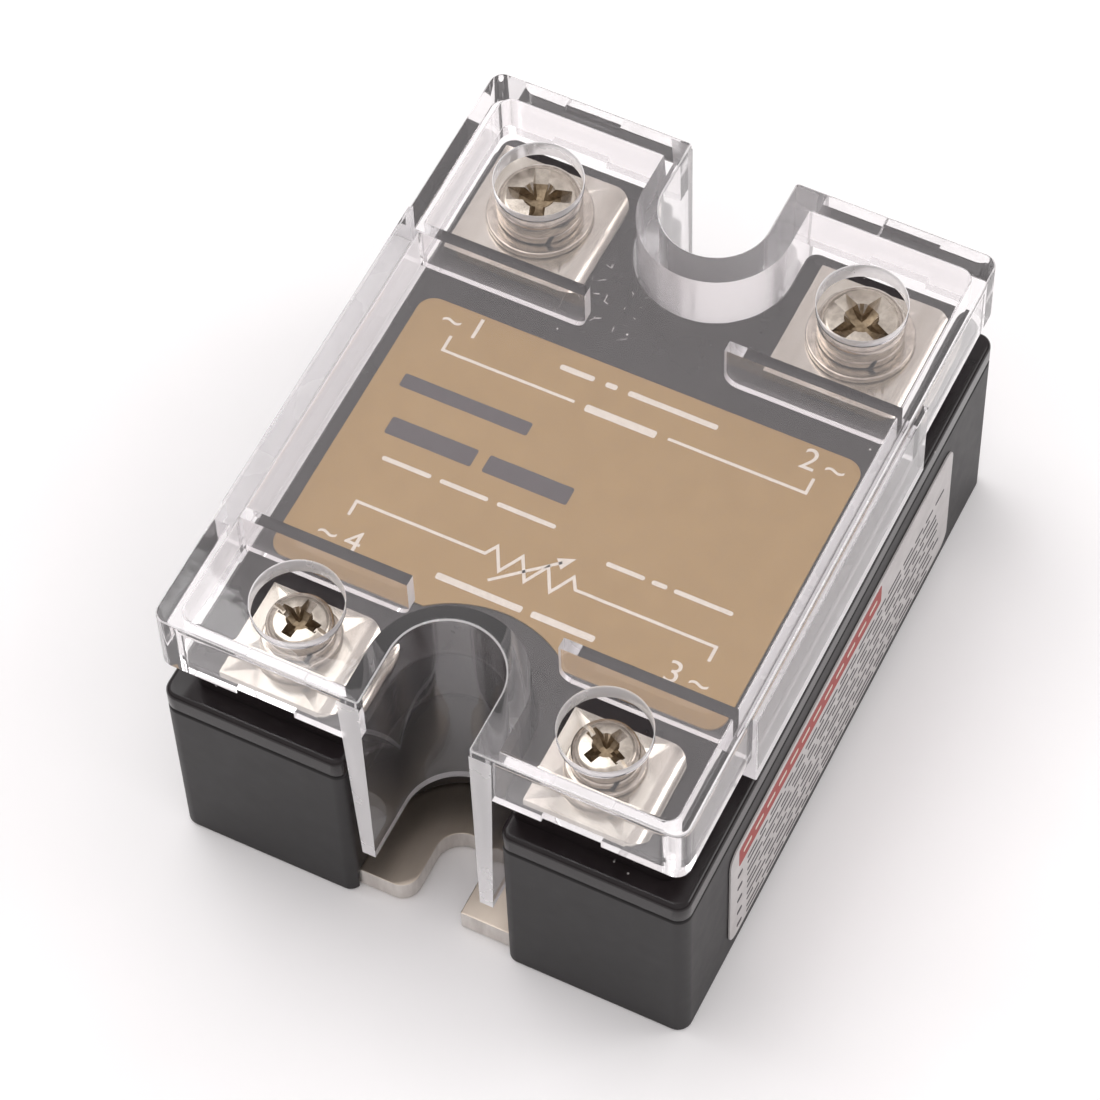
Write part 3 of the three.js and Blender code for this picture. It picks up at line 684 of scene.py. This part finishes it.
plate_kinds = {
    "load": {"flat": 4.4, "roll": 1.9, "thickness": 0.9},
    "control": {"flat": 4.1, "roll": 1.7, "thickness": 0.8},
}
plate_corner, plate_break = 1.7, 0.1
tab_drop = 0.3  # from the plate's face down to the tab's root
nickel = finish("bright_nickel", (186, 179, 169), (204, 198, 189), (0.12, 0.24), metallic=1.0,
                cloud=420, stretch=(1, 0.2, 1), grain=2600, depth=0.00001)
for name in terminals:
    side = name.split("_")[0]
    kind = plate_kinds[side]
    low, high = box_mm("terminal_plate_" + name)
    x, y = places[name]
    bottom = high.z - kind["thickness"]
    centre = high.z - kind["roll"]
    stop = math.degrees(math.asin((bottom - centre) / kind["roll"]))
    profile = [(low.x, bottom), *arc(x + kind["flat"], centre, kind["roll"], stop, 90, 14),
               (low.x, high.z)]
    strip = lofted("terminal_strip_" + name,
                   [[(px, py, pz) for px, pz in profile] for py in (high.y, low.y)])
    half = tab_widths[side] / 2
    edge = (low.y, low.y + kind["thickness"]) if y > 0 else (high.y - kind["thickness"], high.y)
    carve(strip, block("tab", x - half, x + half, *edge, low.z, high.z - tab_drop), "UNION")
    carve(strip, prism("bore", arc(x, y, screw_bores[side], 0, 354, 59), bottom - ABOVE,
                       high.z + ABOVE))
    carve(strip, prism("corners", rounded_plan(
        low.x - 3, high.x + 0.01, low.y - 0.01, high.y + 0.01, plate_corner), low.z - ABOVE,
        high.z + ABOVE), "INTERSECT")
    eased(strip, plate_break)
    strip.data.materials.append(nickel)
    smoothed(strip)
    fit(strip, "relay", "nickel", "terminal_plate_" + name)

# ---- Washers ---------------------------------------------------------------------------------
# Under each screw head: a flat washer, and a split spring washer whose ends stand a little apart.
# Both are stamped or coiled steel, nickel-plated, and stay captive on the screw.

flat_edge, split_edge = 0.14, 0.12
split_rise = 0.12  # how far one end of the spring washer stands above the other
split_turn = -50  # degrees: where the cut in the spring washer lies
split_width = 0.45
split_lean = 0.45  # how far the cut slants, as a share of the washer's thickness
plated = finish("plated_steel", (178, 169, 158), (200, 191, 180), (0.14, 0.26), metallic=1.0,
                cloud=1400, grain=5000, depth=0.000006)


def turned(name, profile, x, y, steps=72, closed=False, radius_at=None):
    """A piece spun about a vertical axis from (radius, height) points."""
    shape = bmesh.new()
    rows = []
    for radius, z in profile:
        row = []
        for step in range(steps):
            angle = 2 * math.pi * step / steps
            r = radius_at(radius, z, angle) if radius_at else radius
            row.append(shape.verts.new((x + r * math.cos(angle), y + r * math.sin(angle), z)))
        rows.append(row)
    if closed:
        rows.append(rows[0])
    for below, above in zip(rows, rows[1:]):
        for i in range(steps):
            j = (i + 1) % steps
            shape.faces.new((below[i], below[j], above[j], above[i]))
    bmesh.ops.remove_doubles(shape, verts=shape.verts, dist=WELD)
    loose = [face for face in shape.faces if face.calc_area() < 1e-9]
    bmesh.ops.delete(shape, geom=loose, context="FACES")
    return piece_from(name, shape)


def ring_profile(inner, outer, low, high, ease):
    """A ring's section, with its four edges rounded."""
    profile = []
    for cx, cz, start in ((outer - ease, low + ease, -90), (outer - ease, high - ease, 0),
                          (inner + ease, high - ease, 90), (inner + ease, low + ease, 180)):
        profile += arc(cx, cz, ease, start, start + 90, 4)
    return profile


for name in terminals:
    x, y = places[name]
    body = "washers_" + name
    bore = screw_bores[name.split("_")[0]]
    low, high = box_mm("flat_washer_" + name)
    outer = (high.x - low.x) / 2
    flat = turned("washer_plain_" + name, ring_profile(bore, outer, low.z, high.z, flat_edge),
                  x, y, closed=True)
    flat.data.materials.append(plated)
    smoothed(flat)
    fit(flat, body, "nickel", "flat_washer_" + name)

    low, high = box_mm("spring_washer_" + name)
    outer = (high.x - low.x) / 2
    section = ring_profile(bore, outer, low.z, high.z - split_rise, split_edge)
    opening = math.degrees(split_width / outer)
    turns = 90
    rings = []
    for step in range(turns + 1):
        share = step / turns
        spot = split_turn + opening / 2 + (360 - opening) * share
        ring = []
        for radius, z in section:
            lean = (z - low.z) / (high.z - low.z) - 0.5
            angle = math.radians(spot + math.degrees(split_lean / outer) * lean)
            ring.append((x + radius * math.cos(angle), y + radius * math.sin(angle),
                         z + split_rise * share))
        rings.append(ring)
    spring = lofted("washer_split_" + name, rings)
    spring.data.materials.append(plated)
    smoothed(spring)
    fit(spring, body, "nickel", "spring_washer_" + name)

# ---- Terminal screws -------------------------------------------------------------------------
# Nickel-plated pan-head screws, M4 on the load side and M3 on the control side, with rolled
# threads. The heads have a punched cross recess, and the small ones a slot across it as well.

screw_kinds = {
    "load": {"head": 1.85, "thread": 1.85, "depth": 0.42, "pitch": 0.7, "recess": 2.75,
             "arm": 0.62, "cone": 1.4, "slot": 0.0},
    "control": {"head": 1.8, "thread": 1.35, "depth": 0.3, "pitch": 0.5, "recess": 1.85,
                "arm": 0.46, "cone": 1.05, "slot": 0.4},
}
point_taper = 0.15
thread_start, thread_run_in, thread_run_out = 0.25, 0.2, 0.5
thread_rows = 8  # drawn per turn
head_rim = 0.12  # radius of the head's lower edge
crown_share = 0.42  # of the head's height
recess_share = 0.68  # of the head's height
recess_turns = {"load_1": 20, "load_2": -25, "control_3": -25, "control_4": -8}  # degrees
# The faces inside each cross recess take a darker brown than the plated head: painted shade in the
# recess.
painted_shade_recess = finish("recess_painted_shade", (120, 104, 84), (150, 134, 112), (0.35, 0.5), metallic=0.9,
                     cloud=3000, grain=6000, depth=0.00001)


def cross_outline(arm, half):
    """A plus sign with arms of that reach and half width."""
    corner = [(arm, -half), (arm, half), (half, half)]
    points = []
    for quarter in range(4):
        turn = math.radians(90 * quarter)
        for px, py in corner:
            points.append((px * math.cos(turn) - py * math.sin(turn),
                           px * math.sin(turn) + py * math.cos(turn)))
    return points


for name in terminals:
    x, y = places[name]
    kind = screw_kinds[name.split("_")[0]]
    low, high = box_mm("terminal_screw_" + name)
    head_radius = (high.x - low.x) / 2
    height = kind["head"]
    under = high.z - height
    profile = [(0, low.z), (kind["thread"] - kind["depth"] - point_taper, low.z)]
    count = int((under - low.z - thread_run_out) / kind["pitch"] * thread_rows)
    for row in range(count + 1):
        profile.append((kind["thread"],
                        low.z + thread_start + row * kind["pitch"] / thread_rows))
    profile += [(kind["thread"] - 0.02, under), (head_radius - 0.3, under)]
    profile += arc(head_radius - head_rim, under + head_rim, head_rim, -90, 0, 4)
    crown = height * crown_share
    for step in range(9):
        turn = math.pi / 2 * step / 8
        profile.append((head_radius - crown * 1.15 * (1 - math.cos(turn)),
                        high.z - 0.1 - crown + crown * math.sin(turn)))
    profile += [(head_radius * 0.45, high.z - 0.03), (0, high.z)]

    def thread_radius(radius, z, angle, kind=kind, low=low, under=under):
        """Cuts the helical thread into the plain shank."""
        if (radius < kind["thread"] or z < low.z + thread_run_in
                or z > under - thread_run_in):
            return radius
        turn = ((z - low.z) / kind["pitch"] - angle / (2 * math.pi)) % 1
        start = min(1.0, (z - low.z - thread_run_in) / kind["pitch"])
        return radius - kind["depth"] * (1 - (1 - abs(2 * turn - 1)) * start)

    screw = turned("pan_screw_" + name, profile, x, y, radius_at=thread_radius)
    depth = height * recess_share
    levels = [(1.25, 1.25, 0.3), (1.0, 1.0, 0.0), (0.62, 0.86, -depth * 0.7),
              (0.3, 0.5, -depth)]  # shares of the arm's reach and width, and height
    rings = []
    lean = Matrix.Rotation(math.radians(recess_turns[name]), 2)
    for reach, width, drop in levels:
        outline = cross_outline(kind["recess"] * reach, kind["arm"] * width)
        ring = [lean @ Vector(point) for point in outline]
        rings.append([(x + p.x, y + p.y, high.z + drop) for p in ring])
    carve(screw, lofted("punch", rings[::-1]))
    carve(screw, turned("cone", [
        (0, high.z - depth), (kind["cone"] * 0.45, high.z - depth * 0.85),
        (kind["cone"], high.z - 0.02), (kind["cone"], high.z + 0.5), (0, high.z + 0.5)],
        x, y, steps=24))
    if kind["slot"]:
        half = kind["slot"] / 2
        corners = [(-4, -half), (4, -half), (4, half), (-4, half)]
        outline = [lean @ Vector(point) for point in corners]
        carve(screw, prism("saw", [(x + p.x, y + p.y) for p in outline], high.z - depth * 0.42,
                           high.z + ABOVE))
    screw.data.materials.append(plated)
    screw.data.materials.append(painted_shade_recess)
    # Faces deep in the cross recess get the darker brown finish, which is painted shade.
    for face in screw.data.polygons:
        centre = face.center / MM
        away = math.hypot(centre.x - x, centre.y - y)
        inside = centre.z > under + 0.2 and centre.z < high.z - 0.3 and away < head_radius * 0.62
        face.material_index = 1 if inside else 0
    smoothed(screw, 28)
    fit(screw, "screw_" + name, "nickel", "terminal_screw_" + name)

# ---- Clear cover -----------------------------------------------------------------------------
# One water-clear moulding that is sprung over the lid: a top plate with driver holes, a rim, a
# U-shaped wall down each mounting notch, a clip skirt on each side and ribs round the label. Its
# bores, its edges and the ends of its walls and ribs are duller than its polished faces.

cover_plate = 1.6
cover_wall = 1.4
cover_inset = 0.2
cover_gap = 0.3  # clear of the lid below and at the sides
cover_notch = 4.6
cover_notch_wall = 1.5
cover_mouth = 0.3
cover_edge, cover_foot_edge = 0.22, 0.08
leg_foot, leg_swell = 1.15, 0.75  # thickness at the foot, and what it gains on the way up
rib_thickness = 1.0
rib_corner = 1.2
rib_lift = 0.5
rib_step = 0.3  # the near ribs stop this much further out
driver_hole = 3.62
relief_half, relief_rise = 2.5, 0.7
clip_near, clip_far = -17.2, 14.2
clip_low = 21.4
clip_corner, clip_edge = 0.1, 0.08

cover_low, cover_high = box_mm("clear_cover")
cover_x = lid_high.x - cover_inset
cover_y = cover_high.y
cover_bottom = lid_high.z + cover_gap
ceiling = cover_high.z - cover_plate
cover = lofted("cover_moulded", rounded_rings(
    lambda inset: notched(cover_x, cover_y, corner_radius, cover_notch, cover_mouth, inset),
    cover_bottom, cover_high.z, cover_foot_edge, cover_edge))
carve(cover, lofted("hollow", rounded_rings(
    lambda inset: notched(cover_x - cover_wall, cover_y - cover_wall, corner_radius,
                          cover_notch + cover_notch_wall, cover_mouth, inset),
    cover_bottom - ABOVE, ceiling, 0, 0.2)))


def leg_plan(inner, outer, end):
    """Plan of the wall down a mounting notch, round the notch and out to the cover's end."""
    return [(outer, end), (inner, end), *arc(0, mount_y, inner, 0, -180, 48), (-inner, end),
            (-outer, end), *arc(0, mount_y, outer, 180, 360, 48)]


leg_top = cover_high.z - cover_plate / 2
leg_rings = []
for z, ease in ((cover_low.z, 0.3), (cover_low.z + 0.1, 0.12), (cover_low.z + 0.3, 0.0),
                (leg_top, 0.0)):
    thick = leg_foot + leg_swell * (z - cover_low.z) / (leg_top - cover_low.z)
    leg_rings.append([(px, py, z) for px, py in leg_plan(
        cover_notch + ease, cover_notch + thick - ease, cover_y - ease)])
for turn in (1, -1):
    wall = lofted("notch_wall", [[(turn * px, turn * py, pz) for px, py, pz in ring]
                                 for ring in leg_rings])
    carve(cover, wall, "UNION")
    inner, outer = plateau_x + cover_gap, cover_high.x
    x0, x1 = (inner, outer) if turn > 0 else (-outer, -inner)
    skirt = lofted("skirt", rounded_rings(
        lambda inset: rounded_plan(x0 + inset, x1 - inset, clip_near + inset, clip_far - inset,
                                   clip_corner + inset, inset),
        clip_low, leg_top, clip_edge, clip_edge, 2))
    carve(cover, skirt, "UNION")
rib_reach = cover_notch + cover_notch_wall
rib_rows = ((12.8, rib_reach), (clip_near, rib_reach + rib_step))  # y, and where they stop
for y, reach in rib_rows:
    for turn in (1, -1):
        low = lid_high.z + rib_lift
        outline = [(cover_x - cover_wall / 2, low), (cover_x - cover_wall / 2, leg_top),
                   (reach, leg_top), *arc(reach + rib_corner, low + rib_corner, rib_corner, 180,
                                          270, 10)]
        rib = lofted("rib", [[(turn * px, y + turn * py, pz) for px, pz in outline]
                             for py in (-rib_thickness / 2, rib_thickness / 2)])
        carve(cover, rib, "UNION")
for name, (x, y) in places.items():
    drill = turned("drill", [
        (0, ceiling - 0.6), (driver_hole + 0.4, ceiling - 0.6),
        (driver_hole + 0.06, ceiling - 0.01), (driver_hole, ceiling + 0.1),
        (driver_hole, cover_high.z - 0.16), (driver_hole + 0.04, cover_high.z - 0.05),
        (driver_hole + 0.4, cover_high.z + 0.3), (0, cover_high.z + 0.3)], x, y, steps=96)
    carve(cover, drill)
    end = 1 if y > 0 else -1
    relief_y = sorted((end * (cover_y - 2), end * (cover_y + ABOVE)))
    carve(cover, block("relief", x - relief_half, x + relief_half, *relief_y,
                       cover_bottom - ABOVE, cover_bottom + relief_rise))
clear = bpy.data.materials.new("water_clear")
clear.use_nodes = True
clear_tree = clear.node_tree
clear_nodes, clear_link = clear_tree.nodes, clear_tree.links.new
glass = clear_nodes["Principled BSDF"]
glass.inputs["Base Color"].default_value = (0.99, 0.972, 0.978, 1)
glass.inputs["Transmission Weight"].default_value = 0.98
glass.inputs["IOR"].default_value = 1.5
clear_place = clear_nodes.new("ShaderNodeTexCoord").outputs["Object"]
smears = noise(clear_tree, clear_place, 180, 5)
smear_gloss = ranged(clear_tree, smears.outputs["Fac"], 0.45, 0.8, 0.01, 0.07)
clear_link(smear_gloss.outputs["Result"], glass.inputs["Roughness"])
bumped(clear_tree, noise(clear_tree, clear_place, 320).outputs["Fac"], glass, 0.25, 0.00003)
light_path = clear_nodes.new("ShaderNodeLightPath")
lets_through = clear_nodes.new("ShaderNodeBsdfTransparent")
lets_through.inputs["Color"].default_value = (0.92, 0.91, 0.92, 1)
lamp_pass = clear_nodes.new("ShaderNodeMixShader")
clear_link(light_path.outputs["Is Shadow Ray"], lamp_pass.inputs["Fac"])
clear_link(glass.outputs["BSDF"], lamp_pass.inputs[1])
clear_link(lets_through.outputs["BSDF"], lamp_pass.inputs[2])
clear_link(lamp_pass.outputs["Shader"], clear_nodes["Material Output"].inputs["Surface"])
cover.data.materials.append(clear)
cover_looks = (  # the faces that the mould or the cutter left duller: roughness, share let through
    ("clear_matte", (0.22, 0.4), 0.5),
    ("clear_cut_edge", (0.22, 0.4), 0.2),
    ("clear_satin", (0.1, 0.24), 0.84),
)
for name, gloss, through in cover_looks:
    dull = clear.copy()
    dull.name = name
    dull_gloss = dull.node_tree.nodes[smear_gloss.name].inputs
    dull_gloss["To Min"].default_value, dull_gloss["To Max"].default_value = gloss
    dull_shader = dull.node_tree.nodes["Principled BSDF"]
    dull_shader.inputs["Transmission Weight"].default_value = through
    cover.data.materials.append(dull)
water, matte, cut_edge, satin = range(4)
notch_side = 6.8  # the notch walls lie nearer to the middle than this
for face in cover.data.polygons:
    centre = face.center / MM
    upright = abs(face.normal.z) < 0.3
    in_bore = any(abs(math.hypot(centre.x - x, centre.y - y) - driver_hole) < 0.06
                  for x, y in places.values())
    leg_end = abs(centre.y) > cover_y - 0.05 and abs(centre.x) < notch_side
    far_wall = centre.y > mount_y - 7 and abs(centre.x) < notch_side
    lower_edge = (face.normal.z < -0.3 and centre.z < cover_bottom + 0.1
                  and (centre.y < clip_near or centre.z < cover_bottom - 1))
    rib_end = (abs(face.normal.x) > 0.3 and 6.0 < abs(centre.x) < 7.8 and abs(centre.y) < 17.8
               and centre.z > lid_high.z + 0.4)
    top_edge = 0.3 < face.normal.z < 0.96 and centre.z > cover_high.z - 0.25
    if lower_edge or rib_end:
        face.material_index = cut_edge
    elif top_edge or (upright and (in_bore or leg_end)):
        face.material_index = matte
    elif upright and far_wall:
        face.material_index = satin
    else:
        face.material_index = water
smoothed(cover, 30)
fit(cover, "cover", "clear_plastic", "clear_cover")

# ---- Inside the case -------------------------------------------------------------------------
# Ceramic tile with the two power chips, the leads, the trigger board with its parts, the resin
# over the floor and the captive nuts. These keep their plain shapes and get their own finishes.

inner_finishes = {  # nodes, two swatches, roughness from and to, metallic
    "fired_alumina": (("ceramic_substrate",), (236, 232, 223), (226, 221, 211), (0.5, 0.65), 0.0),
    "cast_resin": (("potting_resin",), (36, 36, 36), (44, 43, 42), (0.2, 0.4), 0.0),
    "green_board": (("circuit_board",), (44, 102, 54), (52, 116, 62), (0.35, 0.5), 0.0),
    "dipped_red": (("snubber_capacitor", "timing_capacitor", "trigger_diac"), (160, 66, 42),
                   (172, 78, 50), (0.25, 0.4), 0.0),
    "black_epoxy": (("trigger_optocoupler",), (30, 30, 32), (38, 38, 40), (0.45, 0.6), 0.0),
    "tan_cement": (("snubber_resistor",), (204, 178, 136), (214, 190, 150), (0.5, 0.65), 0.0),
    "blue_lacquer": (("gate_resistor", "input_resistor", "surge_varistor"), (40, 74, 140),
                     (50, 88, 156), (0.3, 0.45), 0.0),
    "raw_copper": (tuple("power_lead_" + n for n in terminals[:2])
                   + tuple("gate_pin_" + n for n in terminals[:2])
                   + tuple("control_lead_" + n for n in terminals[2:]),
                   (184, 104, 62), (200, 122, 76), (0.25, 0.45), 1.0),
    "polished_silicon": (tuple("thyristor_chip_" + n for n in terminals[:2]), (60, 64, 72),
                         (74, 78, 88), (0.12, 0.25), 0.5),
    "cut_steel": (tuple("captive_nut_" + n for n in terminals), (180, 176, 170), (196, 192, 186),
                  (0.25, 0.4), 1.0),
}
for name, (inner_nodes, colour, second, gloss, metal) in inner_finishes.items():
    inner_look = finish(name, colour, second, gloss, metallic=metal, cloud=1600, grain=6000,
                        depth=0.00001)
    for node in inner_nodes:
        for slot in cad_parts[node].material_slots:
            slot.material = inner_look
